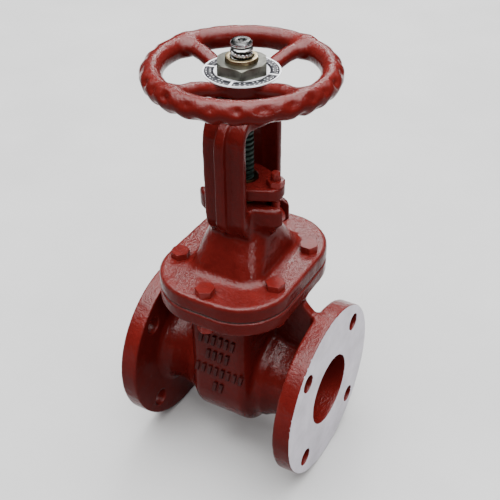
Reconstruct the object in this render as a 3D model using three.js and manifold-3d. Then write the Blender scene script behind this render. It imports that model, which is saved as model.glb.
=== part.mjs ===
// Outside-screw-and-yoke gate valve, NPS 3 (DN 80), flanged, with a bolted bonnet and a rising stem.
// Millimetres. The pipe axis is X, the stem axis is +Z, and they cross at the origin. Valve closed.
import * as THREE from "three";
import { mergeVertices } from "three/addons/utils/BufferGeometryUtils.js";
import Module from "manifold-3d";

const wasm = await Module();
wasm.setup();

// ---------------------------------------------------------------- driving dimensions

// Pipe ends: class 125 cast-iron flanges, flat faced.
const FACE_TO_FACE = 203.2;
const FLANGE_R = 190.5 / 2;
const FLANGE_T = 19.05;
const BOLT_CIRCLE_R = 152.4 / 2;
const BOLT_HOLE_R = 19.05 / 2;
const PORT_R = 39;
const NECK_R = 46;
const NECK_FILLET = 5;
const SEAT_BULGE_R = 51;
const SEAT_BULGE_X = [42, 51];
const INTO_NECK = 3;
const INTO_JOINT = 1;

// Wedge chamber of the body: outer half sizes, bottom radius, wall and corner radius.
const CHAMBER_X = 34;
const CHAMBER_Y = 61;
const CHAMBER_BOTTOM_R = 62;
const CHAMBER_CORNER = 12;
const CHAMBER_WALL = 8;
const CHAMBER_INNER_CORNER = 7;
const SEAT_BOSS_R = 50;
const GUIDE_RIB_HALF = 3.5;
const GUIDE_RIB_Y = 46;
const GUIDE_RIB_Z = [-30, 115];
const GUSSET_HALF = 4.8;

// Joint between body and bonnet: a rounded rectangle, longer across the pipe.
const JOINT_X = 70;
const JOINT_Y = 88.5;
const JOINT_CORNER = 54;
const BODY_FLANGE_Z = 111.5;
const GASKET_Z = 127;
const BONNET_Z = 128.5;
const BONNET_FLANGE_TOP = 145;
const BONNET_BOLTS = [[0, 76], [54, 36], [54, -36], [0, -76], [-54, -36], [-54, 36]];
const BONNET_BOLT_R = 5.5;
const BONNET_HOLE_R = 6.3;
const BONNET_HEX = 17;
const BONNET_HEAD_H = 7;
const BONNET_NUT_H = 10;
const BOLT_OVERHANG = 2;
const BOLT_TURN = 15;

// Bonnet dome, stuffing box and its two slotted lugs.
const DOME_X = 40;
const DOME_Y = 52;
const DOME_CORNER = 20;
const DOME_TOP = 190;
const DOME_TOP_R = 29;
const CAVITY = { x: 28, y: 38, corner: 12, topR: 20, top: 156 };
const BOX_FLANGE_Z = 197;
const BOX_TOP = 215;
const BOX_BORE_R = 17.2;
const LUGS = { reach: 47.2, middleR: 26.5, endR: 17 };
const LUG_ROOT = { reach: 30, middleR: 23, endR: 15 };
const LUG_ROOT_Z = 180;
const LUG_SLOT_HALF = 5.8;
const PACKING_FLOOR = 165;
const BUSH_SEAT_R = 15.8;

// Yoke arms: a flat plate with a central rib outside, rising to the yoke hub.
const ARM_HALF_WIDTH = 21;
const ARM_INNER_Y = 30;
const ARM_OUTER_Y = 38;
const ARM_FOOT_Z = 180;
const ARM_STRAIGHT_Z = [208, 278];
const RIB_Y = 45.5;
const RIB_HALF_WIDTH = 5;
const HUB_R = 28;
const HUB_BOTTOM = 296;
const HUB_TOP = 320;
const HUB_BORE_R = 17.3;
const HUB_EASE = [4, 6];
const HUB_RECESS_R = 23;
const HUB_RECESS_Z = 305;

// Stem: a T-head that hangs the wedge, a backseat collar, and a plain cylinder for the thread.
const STEM_R = 10;
const STEM_TOP = 370;
const STEM_BORE_R = 10.4;
const STEM_HEAD = { r: 12.8, z: [48.2, 54] };
const STEM_NECK = { r: 8, top: 64 };
const STEM_COLLAR = { r: 13.5, z: [66, 72.5] };
const STEM_CENTRE_R = 2.6;

// Wedge and seats, tapered to each side of the stem axis.
const TAPER = THREE.MathUtils.degToRad(4);
const WEDGE_R = 46.5;
const WEDGE_FACE = 12.5;
const FACING_PROUD = 1.7;
const FACING_DEPTH = 2;
const FACING_R = [39.5, 45.5];
const WEDGE_LUG = { x: 16, y: 17, z: [36, 63] };
const T_SLOT = { headY: 13.6, neckY: 8.6, z: [47.5, 54.3] };
const GUIDE_PLAY = 0.8;
const SEAT_R = [PORT_R, 46.5];
const SEAT_T = 9;
const GAP = 0.3;

// Gland.
const GLAND_Z = 223;
const GLAND_T = 12;
const GLAND_OVAL = { reach: 42.4, middleR: 27, endR: 16 };
const GLAND_HOLE_R = 5.4;
const FOLLOWER_R = [13.7, 16.8];
const GLAND_BOLT_X = 34.5;
const GLAND_BOLT_R = 4.6;
const GLAND_HEX = 15.5;
const GLAND_NUT_H = 6;
const GLAND_NUT_TURN = -4;
const GLAND_BOLT_TOP = 249;
const EYE_Z = 200;
const EYE_R = 9;
const EYE_HALF = 5;
const PIN_R = 3.5;
const PIN_HALF = 13.5;
const PACKING_RINGS = 5;
const PACKING_BOTTOM = 167;
const PACKING_TOP = 200;

// Handwheel with four spokes, and what turns with it.
const WHEEL_R = 79.4;
const RIM_R = 10.4;
const WHEEL_Z = 340.7;
const WHEEL_HUB_R = 22;
const WHEEL_HUB_Z = [324, 341];
const SPOKES = 4;
const SPOKE_ANGLE = THREE.MathUtils.degToRad(71);
const SPOKE_R = 7.1;
const SPOKE_PATH = [[16, 330.5], [30, 333], [42, 337.3], [52, 340.3], [64, 341], [78, 340.7]];
const KEY_X = [12, 17.3];
const KEY_HALF = 2.5;

// Bronze yoke nut, the washers each side of its collar, and the slotted ring that holds it down.
const SLEEVE_R = 14.5;
const SLEEVE_TOP = 355.5;
const NUT_COLLAR = { r: 21.5, z: [307.2, 313.6] };
const WASHER_T = 2;
const WASHER_R = 22.6;
const RETAINER_Z = [316, 322];
const PLATE_R = 34.8;
const PLATE_T = 1.2;
const WHEEL_HEX = 43;
const WHEEL_NUT_H = 9.6;

const SEGMENTS = 32;
const FINE = 16;
const COARSE = 12;
const PAST = 1;
const HALF_PI = Math.PI / 2;

// ---------------------------------------------------------------- solids and meshes

// A closed three.js geometry as a manifold solid, turned right side out.
function solid(geometry) {
  const bare = geometry.index ? geometry.toNonIndexed() : geometry.clone();
  bare.deleteAttribute("normal");
  bare.deleteAttribute("uv");
  const merged = mergeVertices(bare, 1e-4);
  const corners = [];
  for (let i = 0; i < merged.index.count; i += 3) {
    const [a, b, c] = [0, 1, 2].map((k) => merged.index.getX(i + k));
    if (a !== b && b !== c && c !== a) corners.push([a, b, c]);
  }
  const build = (rows) =>
    new wasm.Manifold(
      new wasm.Mesh({
        numProp: 3,
        vertProperties: merged.attributes.position.array,
        triVerts: new Uint32Array(rows.flat()),
      }),
    );
  const made = build(corners);
  return made.volume() < 0 ? build(corners.map((row) => [...row].reverse())) : made;
}

function join(...solids) {
  return solids.reduce((sum, next) => sum.add(next));
}

function cut(base, ...tools) {
  return tools.reduce((rest, tool) => rest.subtract(tool), base);
}

// Revolves [radius, height] pairs about Z.
function lathe(profile, segments = FINE) {
  const points = profile.map(([r, z]) => new THREE.Vector2(r, z));
  return solid(new THREE.LatheGeometry(points, segments).rotateX(HALF_PI));
}

function disc(r, z0, z1, segments = FINE) {
  return lathe([[0, z0], [r, z0], [r, z1], [0, z1]], segments);
}

function ring(inner, outer, z0, z1, segments = FINE) {
  return lathe([[inner, z0], [outer, z0], [outer, z1], [inner, z1], [inner, z0]], segments);
}

function box(x0, x1, y0, y1, z0, z1) {
  const block = new THREE.BoxGeometry(x1 - x0, y1 - y0, z1 - z0);
  return solid(block.translate((x0 + x1) / 2, (y0 + y1) / 2, (z0 + z1) / 2));
}

// A solid made about Z, laid over so that its +Z becomes +X (side 1) or -X (side -1).
function alongX(shape, side = 1) {
  return shape.rotate([0, 90 * side, 0]);
}

function alongY(shape) {
  return shape.rotate([-90, 0, 0]);
}

// Extrudes an XY outline from z0 to z1.
function prism(shape, z0, z1, curveSegments = 8) {
  const settings = { depth: z1 - z0, bevelEnabled: false, curveSegments };
  return solid(new THREE.ExtrudeGeometry(shape, settings).translate(0, 0, z0));
}

// Extrudes a YZ outline, drawn as (y, z), over the width from x0 to x1.
function slab(shape, x0, x1, curveSegments = 8) {
  const settings = { depth: x1 - x0, bevelEnabled: false, curveSegments };
  const made = new THREE.ExtrudeGeometry(shape, settings);
  const turn = new THREE.Matrix4().makeBasis(
    new THREE.Vector3(0, 1, 0),
    new THREE.Vector3(0, 0, 1),
    new THREE.Vector3(1, 0, 0),
  );
  return solid(made.applyMatrix4(turn).translate(x0, 0, 0));
}

// Points of a rounded rectangle with half sizes a and b, counterclockwise.
function roundedPoints(a, b, r, perCorner = 6) {
  const corners = [[a - r, b - r, 0], [r - a, b - r, 1], [r - a, r - b, 2], [a - r, r - b, 3]];
  return corners.flatMap(([x, y, quarter]) =>
    Array.from({ length: perCorner + 1 }, (_, i) => {
      const angle = (quarter + i / perCorner) * HALF_PI;
      return [x + r * Math.cos(angle), y + r * Math.sin(angle)];
    }),
  );
}

function outline(points) {
  return new THREE.Shape(points.map(([x, y]) => new THREE.Vector2(x, y)));
}

function roundedRect(a, b, r, perCorner = 6) {
  return outline(roundedPoints(a, b, r, perCorner));
}

// Two-bolt oval: a middle circle joined by tangents to a smaller circle at each end.
function ovalPoints({ reach, middleR, endR }) {
  const centre = reach - endR;
  const lean = Math.acos((middleR - endR) / centre);
  const arc = (x, r, from, to, steps) =>
    Array.from({ length: steps + 1 }, (_, i) => {
      const angle = from + ((to - from) * i) / steps;
      return [x + r * Math.cos(angle), r * Math.sin(angle)];
    });
  return [
    ...arc(centre, endR, -lean, lean, 8),
    ...arc(0, middleR, lean, Math.PI - lean, 6),
    ...arc(-centre, endR, Math.PI - lean, Math.PI + lean, 8),
    ...arc(0, middleR, Math.PI + lean, 2 * Math.PI - lean, 6),
  ].filter(([x, y], i, all) => i === 0 || Math.hypot(x - all[i - 1][0], y - all[i - 1][1]) > 1e-3);
}

// Skins a stack of sections, each a closed list of [x, y, z] points of equal length.
function loft(sections) {
  const count = sections[0].length;
  const positions = sections.flat(2);
  const index = [];
  const middle = (section) =>
    [0, 1, 2].map((k) => section.reduce((sum, p) => sum + p[k], 0) / count);
  sections.slice(1).forEach((_, level) => {
    for (let i = 0; i < count; i++) {
      const a = level * count + i;
      const b = level * count + ((i + 1) % count);
      index.push(a, b, a + count, b, b + count, a + count);
    }
  });
  const first = positions.length / 3;
  positions.push(...middle(sections[0]), ...middle(sections.at(-1)));
  const top = (sections.length - 1) * count;
  for (let i = 0; i < count; i++) {
    const next = (i + 1) % count;
    index.push(first, next, i, first + 1, top + i, top + next);
  }
  const geometry = new THREE.BufferGeometry();
  geometry.setAttribute("position", new THREE.Float32BufferAttribute(positions, 3));
  geometry.setIndex(index);
  return solid(geometry);
}

// A hexagonal prism of the given size across flats, its corners chamfered at the top.
function hexagon(acrossFlats, z0, z1) {
  const flat = acrossFlats / 2;
  const corner = acrossFlats / Math.sqrt(3);
  const shoulder = z1 - (corner - flat) * 0.6;
  const outer = corner + PAST;
  const envelope = [[0, z0 - PAST], [outer, z0 - PAST], [outer, shoulder], [flat, z1], [0, z1]];
  return disc(corner, z0, z1, 6).intersect(lathe(envelope, COARSE));
}

// Threaded fasteners leave no thread here: shank and hole differ by the stated clearance.
function hexNut(acrossFlats, boreR, z0, z1) {
  return cut(hexagon(acrossFlats, z0, z1), disc(boreR, z0 - PAST, z1 + PAST));
}

const finish = {
  paint: { color: 0x8f2a20, roughness: 0.35, metalness: 0.0 },
  machined: { color: 0xb9b4b6, roughness: 0.4, metalness: 0.9 },
  bronze: { color: 0xa08a52, roughness: 0.4, metalness: 1.0 },
  steel: { color: 0x9a9a9c, roughness: 0.3, metalness: 1.0 },
  zinc: { color: 0x7c7c74, roughness: 0.5, metalness: 0.9 },
  plate: { color: 0xdadadf, roughness: 0.4, metalness: 0.3 },
  graphite: { color: 0x2c2c2e, roughness: 0.8, metalness: 0.0 },
  gasket: { color: 0x3a2a28, roughness: 0.9, metalness: 0.0 },
};

const valve = new THREE.Group();

function addPiece(name, shape, look) {
  const { vertProperties, triVerts } = shape.getMesh();
  const geometry = new THREE.BufferGeometry();
  geometry.setAttribute("position", new THREE.BufferAttribute(vertProperties, 3));
  geometry.setIndex(new THREE.BufferAttribute(triVerts, 1));
  geometry.computeVertexNormals();
  const mesh = new THREE.Mesh(geometry, new THREE.MeshStandardMaterial(finish[look]));
  mesh.name = name;
  valve.add(mesh);
}

// ---------------------------------------------------------------- body

// The chamber's shape for half sizes x and y and bottom radius r, open upwards to z1.
function chamberShape(x, y, r, corner, z1) {
  const plan = prism(roundedRect(x, y, corner, 4), -r - 1, z1);
  const bottom = alongX(disc(r, -x - 1, x + 1, SEGMENTS));
  return plan.intersect(join(bottom, box(-x - 1, x + 1, -y - 1, y + 1, 0, z1)));
}

function flangeHoles(side) {
  return Array.from({ length: 4 }, (_, i) => {
    const angle = (i + 0.5) * HALF_PI;
    const drill = disc(BOLT_HOLE_R, FACE_TO_FACE / 2 - FLANGE_T - PAST, FACE_TO_FACE / 2 + PAST);
    const [y, z] = [BOLT_CIRCLE_R * Math.cos(angle), BOLT_CIRCLE_R * Math.sin(angle)];
    return alongX(drill, side).translate([0, y, z]);
  });
}

// One pipe end: neck with its seat bulge and fillet, and the flange.
function pipeEnd(side) {
  const face = FACE_TO_FACE / 2;
  const back = face - FLANGE_T;
  const profile = [
    [0, 0],
    [SEAT_BULGE_R, 0],
    [SEAT_BULGE_R, SEAT_BULGE_X[0]],
    [NECK_R, SEAT_BULGE_X[1]],
    [NECK_R, back - NECK_FILLET],
    [NECK_R + NECK_FILLET, back],
    [FLANGE_R, back],
    [FLANGE_R, face],
    [0, face],
  ];
  return alongX(lathe(profile, SEGMENTS), side);
}

// Web tying the top of a pipe flange to the underside of the joint flange, in the XZ plane.
function gusset(side) {
  const rootX = CHAMBER_X - CHAMBER_WALL + PAST;
  const backX = FACE_TO_FACE / 2 - FLANGE_T;
  const [low, high] = [NECK_R - INTO_NECK, BODY_FLANGE_Z + INTO_JOINT];
  const shape = new THREE.Shape();
  shape.moveTo(rootX, low);
  shape.lineTo(backX + PAST, low);
  shape.lineTo(backX + PAST, FLANGE_R - 2);
  shape.lineTo(backX, FLANGE_R - 0.5);
  shape.quadraticCurveTo(backX - 9, FLANGE_R + 2, JOINT_X - 1.5, high);
  shape.lineTo(rootX, high);
  const web = slab(shape, -GUSSET_HALF, GUSSET_HALF, 6).rotate([0, 0, -90]);
  return side > 0 ? web : web.mirror([1, 0, 0]);
}

// The clear slot that the wedge slides in, tapered like the wedge.
function wedgeSlot(margin, halfY, z0, z1) {
  const width = (z) => WEDGE_FACE / Math.cos(TAPER) + margin + z * Math.tan(TAPER);
  const section = (z) => [
    [width(z), -halfY, z],
    [width(z), halfY, z],
    [-width(z), halfY, z],
    [-width(z), -halfY, z],
  ];
  return loft([section(z0), section(z1)]);
}

// Turns a shape made about Z so that it faces the seat on one side, at the wedge's taper.
function towardsSeat(shape, side) {
  return alongX(shape, side).rotate([0, THREE.MathUtils.radToDeg(TAPER) * side, 0]);
}

function seatPocket(side) {
  const near = WEDGE_FACE + FACING_PROUD;
  return towardsSeat(disc(SEAT_R[1] + GAP, near, near + SEAT_T + 2 * GAP, SEGMENTS), side);
}

function makeBody() {
  const [x, y, r] = [CHAMBER_X, CHAMBER_Y, CHAMBER_BOTTOM_R];
  const outside = join(
    pipeEnd(1),
    pipeEnd(-1),
    gusset(1),
    gusset(-1),
    chamberShape(x, y, r, CHAMBER_CORNER, GASKET_Z),
    prism(roundedRect(JOINT_X, JOINT_Y, JOINT_CORNER, 10), BODY_FLANGE_Z, GASKET_Z),
  );
  const wall = CHAMBER_WALL;
  const hollow = chamberShape(x - wall, y - wall, r - wall, CHAMBER_INNER_CORNER, GASKET_Z + PAST);
  const bosses = alongX(disc(SEAT_BOSS_R, -x, x, SEGMENTS));
  const ribs = [1, -1].map((side) => {
    const [near, far] = [side * (y - wall + PAST), side * GUIDE_RIB_Y].sort((a, b) => a - b);
    return box(-GUIDE_RIB_HALF, GUIDE_RIB_HALF, near, far, ...GUIDE_RIB_Z);
  });
  const slot = wedgeSlot(FACING_PROUD + GAP, y - wall, wall - r, GASKET_Z);
  const seated = cut(bosses, slot, seatPocket(1), seatPocket(-1));
  const port = alongX(disc(PORT_R, -FACE_TO_FACE / 2 - PAST, FACE_TO_FACE / 2 + PAST, SEGMENTS));
  const kept = join(seated, ...ribs);
  const drills = BONNET_BOLTS.map(([bx, by]) =>
    disc(BONNET_HOLE_R, BODY_FLANGE_Z - PAST, GASKET_Z + PAST).translate([bx, by, 0]),
  );
  const open = cut(hollow, kept);
  const flangeDrills = [...flangeHoles(1), ...flangeHoles(-1)];
  return cut(outside, open, seatPocket(1), seatPocket(-1), port, ...drills, ...flangeDrills);
}

function addBody() {
  addPiece("body", makeBody(), "paint");
  const near = WEDGE_FACE + FACING_PROUD + GAP;
  const seat = ring(...SEAT_R, near, near + SEAT_T, SEGMENTS);
  addPiece("seat_ring_left", towardsSeat(seat, -1), "bronze");
  addPiece("seat_ring_right", towardsSeat(seat, 1), "bronze");
  const sheet = prism(roundedRect(JOINT_X - 1, JOINT_Y - 1, JOINT_CORNER - 1, 8), GASKET_Z, BONNET_Z);
  const [openX, openY] = [CHAMBER_X - CHAMBER_WALL + 2, CHAMBER_Y - CHAMBER_WALL + 2];
  const opening = roundedRect(openX, openY, CHAMBER_INNER_CORNER, 4);
  const window = prism(opening, GASKET_Z - PAST, BONNET_Z + PAST);
  const holes = BONNET_BOLTS.map(([x, y]) =>
    disc(BONNET_HOLE_R, GASKET_Z - PAST, BONNET_Z + PAST, COARSE).translate([x, y, 0]),
  );
  addPiece("body_gasket", cut(sheet, window, ...holes), "gasket");
}

// ---------------------------------------------------------------- bonnet with yoke

// The dome, shrinking evenly from a rounded rectangle to the round stuffing box.
function domeShape(x, y, corner, topR, z0, z1) {
  const level = (share) =>
    roundedPoints(
      THREE.MathUtils.lerp(x, topR, share),
      THREE.MathUtils.lerp(y, topR, share),
      THREE.MathUtils.lerp(corner, topR, share) - 1e-3,
    ).map(([px, py]) => [px, py, THREE.MathUtils.lerp(z0, z1, share)]);
  return loft([level(0), level(1)]);
}

// Side view of one yoke arm, as (y, z): up from the dome, then curving in to the yoke hub.
function armOutline(outerY, innerY) {
  const [straight, bend] = ARM_STRAIGHT_Z;
  const [hubTop, windowZ] = [HUB_TOP - 10, BOX_TOP - 2];
  const shape = new THREE.Shape();
  shape.moveTo(innerY - 10, ARM_FOOT_Z);
  shape.lineTo(innerY - 4, ARM_FOOT_Z + 3);
  shape.quadraticCurveTo(outerY, straight - 14, outerY, straight);
  shape.lineTo(outerY, bend);
  shape.quadraticCurveTo(outerY, hubTop - 6, HUB_R - 10, hubTop);
  shape.lineTo(HUB_R - 18, hubTop);
  shape.lineTo(HUB_R - 18, HUB_BOTTOM);
  shape.lineTo(innerY - 10, HUB_BOTTOM);
  shape.quadraticCurveTo(innerY, HUB_BOTTOM, innerY, HUB_BOTTOM - 8);
  shape.lineTo(innerY, windowZ + 9);
  shape.quadraticCurveTo(innerY, windowZ, innerY - 8, windowZ);
  return shape;
}

function makeArms() {
  const plate = slab(armOutline(ARM_OUTER_Y, ARM_INNER_Y), -ARM_HALF_WIDTH, ARM_HALF_WIDTH, 6);
  const rib = slab(armOutline(RIB_Y, ARM_INNER_Y), -RIB_HALF_WIDTH, RIB_HALF_WIDTH, 6);
  const arm = join(plate, rib);
  return join(arm, arm.mirror([0, 1, 0]));
}

// The stuffing box: a two-lugged oval on top, tapering down into the dome.
function makeStuffingBox() {
  const level = (oval, z) => ovalPoints(oval).map(([x, y]) => [x, y, z]);
  return loft([level(LUG_ROOT, LUG_ROOT_Z), level(LUGS, BOX_FLANGE_Z), level(LUGS, BOX_TOP)]);
}

function makeYokeHub() {
  const [easeR, easeZ] = HUB_EASE;
  const profile = [
    [0, HUB_BOTTOM],
    [HUB_R - easeR, HUB_BOTTOM],
    [HUB_R, HUB_BOTTOM + easeZ],
    [HUB_R, HUB_TOP],
    [0, HUB_TOP],
  ];
  return lathe(profile, SEGMENTS);
}

// Slots that the eye bolts swing out through.
function lugSlots() {
  return [1, -1].map((side) => {
    const ends = [side * (GLAND_BOLT_X - EYE_R - PAST), side * (LUGS.reach + PAST)].sort((a, b) => a - b);
    return box(...ends, -LUG_SLOT_HALF, LUG_SLOT_HALF, EYE_Z - EYE_R - 2, BOX_TOP + PAST);
  });
}

// Holes for the eye bolts' hinge pins, drilled from the back and stopped short of the front.
function pinHoles() {
  const hole = alongY(disc(PIN_R + GAP, -PIN_HALF - GAP, LUGS.middleR, COARSE));
  return [1, -1].map((side) => hole.translate([side * GLAND_BOLT_X, 0, EYE_Z]));
}

function makeBonnet() {
  const drills = BONNET_BOLTS.map(([x, y]) =>
    disc(BONNET_HOLE_R, BONNET_Z - PAST, BONNET_FLANGE_TOP + PAST).translate([x, y, 0]),
  );
  const outside = join(
    prism(roundedRect(JOINT_X, JOINT_Y, JOINT_CORNER, 10), BONNET_Z, BONNET_FLANGE_TOP),
    domeShape(DOME_X, DOME_Y, DOME_CORNER, DOME_TOP_R, BONNET_FLANGE_TOP - PAST, DOME_TOP),
    makeStuffingBox(),
    makeArms(),
    makeYokeHub(),
  );
  return cut(
    outside,
    domeShape(CAVITY.x, CAVITY.y, CAVITY.corner, CAVITY.topR, BONNET_Z - PAST, CAVITY.top),
    disc(BUSH_SEAT_R, CAVITY.top - PAST, PACKING_FLOOR + PAST),
    disc(BOX_BORE_R, PACKING_FLOOR, BOX_TOP + PAST),
    disc(HUB_BORE_R, HUB_BOTTOM - PAST, HUB_TOP + PAST),
    disc(HUB_RECESS_R, HUB_RECESS_Z, HUB_TOP + PAST, SEGMENTS),
    ...lugSlots(),
    ...pinHoles(),
    ...drills,
  );
}

function addBonnet() {
  addPiece("bonnet", makeBonnet(), "paint");
  const [collarR, seatR] = [BOX_BORE_R - 0.2, BUSH_SEAT_R - 0.2];
  const foot = CAVITY.top + 2;
  const bush = [
    [STEM_BORE_R, foot],
    [seatR, foot],
    [seatR, PACKING_FLOOR],
    [collarR, PACKING_FLOOR],
    [collarR, PACKING_BOTTOM],
    [STEM_BORE_R, PACKING_BOTTOM],
    [STEM_BORE_R, foot],
  ];
  addPiece("backseat_bushing", lathe(bush), "bronze");
  const height = (PACKING_TOP - PACKING_BOTTOM) / PACKING_RINGS;
  for (let i = 0; i < PACKING_RINGS; i++) {
    const z0 = PACKING_BOTTOM + i * height;
    const made = ring(STEM_R + 0.1, BOX_BORE_R - 0.1, z0, z0 + height);
    addPiece(`packing_ring_${i + 1}`, made, "graphite");
  }
}

function addBonnetBolts() {
  const nutZ = [BODY_FLANGE_Z - BONNET_NUT_H, BODY_FLANGE_Z];
  const shankEnd = nutZ[0] - BOLT_OVERHANG;
  const profile = [
    [0, shankEnd],
    [BONNET_BOLT_R - 1, shankEnd],
    [BONNET_BOLT_R, shankEnd + 1],
    [BONNET_BOLT_R, BONNET_FLANGE_TOP + PAST],
    [0, BONNET_FLANGE_TOP + PAST],
  ];
  const head = hexagon(BONNET_HEX, BONNET_FLANGE_TOP, BONNET_FLANGE_TOP + BONNET_HEAD_H);
  const bolt = join(head, lathe(profile));
  const nut = hexNut(BONNET_HEX, BONNET_BOLT_R + 0.2, -nutZ[1], -nutZ[0]).mirror([0, 0, 1]);
  BONNET_BOLTS.forEach(([x, y], i) => {
    const turn = [0, 0, BOLT_TURN * i];
    addPiece(`bonnet_bolt_${i + 1}`, bolt.rotate(turn).translate([x, y, 0]), "paint");
    addPiece(`bonnet_nut_${i + 1}`, nut.rotate(turn).translate([x, y, 0]), "paint");
  });
}

// ---------------------------------------------------------------- stem and wedge

function makeStem() {
  const { r: headR, z: headZ } = STEM_HEAD;
  const { r: neckR, top: neckTop } = STEM_NECK;
  const { r: collarR, z: collarZ } = STEM_COLLAR;
  const profile = [
    [0, headZ[0]],
    [headR, headZ[0]],
    [headR, headZ[1]],
    [neckR, headZ[1]],
    [neckR, neckTop],
    [STEM_R, neckTop + 0.5],
    [STEM_R, collarZ[0]],
    [collarR, collarZ[0] + 1],
    [collarR, collarZ[1] - 2.5],
    [STEM_R, collarZ[1]],
    [STEM_R, STEM_TOP - 4],
    [STEM_R - 3.4, STEM_TOP],
    [STEM_CENTRE_R, STEM_TOP],
    [0, STEM_TOP - 2.4],
  ];
  return lathe(profile);
}

function makeWedge() {
  const { x: lugX, y: lugY, z: lugZ } = WEDGE_LUG;
  const [slotX, slotZ] = [lugX + PAST, T_SLOT.z];
  const blank = alongX(disc(WEDGE_R, -30, 30, SEGMENTS));
  const shaped = blank.intersect(wedgeSlot(0, WEDGE_R + PAST, -WEDGE_R - PAST, WEDGE_R + PAST));
  const lug = box(-lugX, lugX, -lugY, lugY, ...lugZ);
  const head = box(-slotX, slotX, -T_SLOT.headY, T_SLOT.headY, ...slotZ);
  const neck = box(-slotX, slotX, -T_SLOT.neckY, T_SLOT.neckY, slotZ[0], lugZ[1] + PAST);
  const guideX = GUIDE_RIB_HALF + GUIDE_PLAY;
  const guides = [1, -1].map((side) => {
    const ends = [side * (GUIDE_RIB_Y - 1.5), side * (WEDGE_R + PAST)].sort((a, b) => a - b);
    return box(-guideX, guideX, ...ends, -WEDGE_R - PAST, WEDGE_R + PAST);
  });
  const [inner, outer] = [FACING_R[0] - GAP, FACING_R[1] + GAP];
  const floor = WEDGE_FACE - FACING_DEPTH - GAP;
  const groove = ring(inner, outer, floor, WEDGE_FACE + 9, SEGMENTS);
  const grooves = [1, -1].map((side) => towardsSeat(groove, side));
  return cut(join(shaped, lug), head, neck, ...guides, ...grooves);
}

function addStemAndWedge() {
  addPiece("stem", makeStem(), "steel");
  addPiece("wedge", makeWedge(), "machined");
  const [back, face] = [WEDGE_FACE - FACING_DEPTH, WEDGE_FACE + FACING_PROUD];
  const facing = ring(...FACING_R, back, face, SEGMENTS);
  addPiece("wedge_facing_left", towardsSeat(facing, -1), "bronze");
  addPiece("wedge_facing_right", towardsSeat(facing, 1), "bronze");
}

// ---------------------------------------------------------------- gland

// The two-bolt plate, with a clear hole for each eye bolt and one for the follower.
function makeGlandFlange(top) {
  const plate = prism(outline(ovalPoints(GLAND_OVAL)), GLAND_Z, top);
  const [z0, z1] = [GLAND_Z - PAST, top + PAST];
  const hole = disc(GLAND_HOLE_R, z0, z1);
  const holes = [1, -1].map((side) => hole.translate([side * GLAND_BOLT_X, 0, 0]));
  return cut(plate, disc(FOLLOWER_R[0] + GAP, z0, z1), ...holes);
}

function makeFollower(top) {
  const [collarR, sleeveR] = FOLLOWER_R;
  const step = GLAND_Z - GAP;
  const profile = [
    [STEM_BORE_R, PACKING_TOP],
    [sleeveR, PACKING_TOP],
    [sleeveR, step],
    [collarR, step],
    [collarR, top + 1.5],
    [STEM_BORE_R, top + 1.5],
    [STEM_BORE_R, PACKING_TOP],
  ];
  return lathe(profile);
}

function makeEyebolt() {
  const tip = GLAND_BOLT_TOP;
  const profile = [
    [0, EYE_Z],
    [GLAND_BOLT_R, EYE_Z],
    [GLAND_BOLT_R, tip - 1],
    [GLAND_BOLT_R - 1, tip],
    [0, tip],
  ];
  const eye = alongY(disc(EYE_R, -EYE_HALF, EYE_HALF, 20));
  const hole = alongY(disc(PIN_R + GAP, -EYE_HALF - PAST, EYE_HALF + PAST, COARSE));
  return cut(join(eye.translate([0, 0, EYE_Z]), lathe(profile)), hole.translate([0, 0, EYE_Z]));
}

function addGland() {
  const top = GLAND_Z + GLAND_T;
  addPiece("gland_flange", makeGlandFlange(top), "paint");
  addPiece("gland_follower", makeFollower(top), "bronze");
  const nut = hexNut(GLAND_HEX, GLAND_BOLT_R + GAP, top, top + GLAND_NUT_H);
  const bolt = makeEyebolt();
  const pin = alongY(disc(PIN_R, -PIN_HALF, PIN_HALF, COARSE));
  [["left", -1], ["right", 1]].forEach(([name, side]) => {
    const x = side * GLAND_BOLT_X;
    addPiece(`gland_nut_${name}`, nut.rotate([0, 0, GLAND_NUT_TURN]).translate([x, 0, 0]), "paint");
    addPiece(`gland_eyebolt_${name}`, bolt.translate([x, 0, 0]), "paint");
    addPiece(`eyebolt_pin_${name}`, pin.translate([x, 0, EYE_Z]), "zinc");
  });
}

// ---------------------------------------------------------------- yoke nut and handwheel

// The slot for the handwheel's key, between two heights.
function keyway(z0, z1) {
  return box(...KEY_X, -KEY_HALF, KEY_HALF, z0, z1);
}

// Bronze nut on the stem: body and collar held in the yoke hub, sleeve up through the handwheel.
function makeStemNut() {
  const [bodyR, foot] = [HUB_BORE_R - 0.5, HUB_BOTTOM + 2];
  const { r: collarR, z: collarZ } = NUT_COLLAR;
  const profile = [
    [STEM_BORE_R, foot],
    [bodyR, foot],
    [bodyR, collarZ[0]],
    [collarR, collarZ[0]],
    [collarR, collarZ[1]],
    [SLEEVE_R, collarZ[1]],
    [SLEEVE_R, SLEEVE_TOP - 1],
    [SLEEVE_R - 1, SLEEVE_TOP],
    [STEM_BORE_R, SLEEVE_TOP],
    [STEM_BORE_R, foot],
  ];
  return cut(lathe(profile), keyway(...WHEEL_HUB_Z));
}

function addYokeNut() {
  const overCollar = NUT_COLLAR.z[1] + 0.2;
  const sleeveHole = SLEEVE_R + 0.5;
  const lower = ring(HUB_BORE_R + GAP, WASHER_R, HUB_RECESS_Z, HUB_RECESS_Z + WASHER_T);
  addPiece("stem_nut", makeStemNut(), "bronze");
  addPiece("lower_thrust_washer", lower, "bronze");
  addPiece("upper_thrust_washer", ring(sleeveHole, WASHER_R, overCollar, overCollar + WASHER_T), "bronze");
  const slot = box(-HUB_R, HUB_R, -KEY_HALF, KEY_HALF, RETAINER_Z[1] - KEY_HALF, RETAINER_Z[1] + PAST);
  const retainer = ring(sleeveHole, HUB_RECESS_R - 0.2, ...RETAINER_Z, SEGMENTS);
  addPiece("yoke_retainer", cut(retainer, slot, slot.rotate([0, 0, 90])), "zinc");
}

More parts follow.
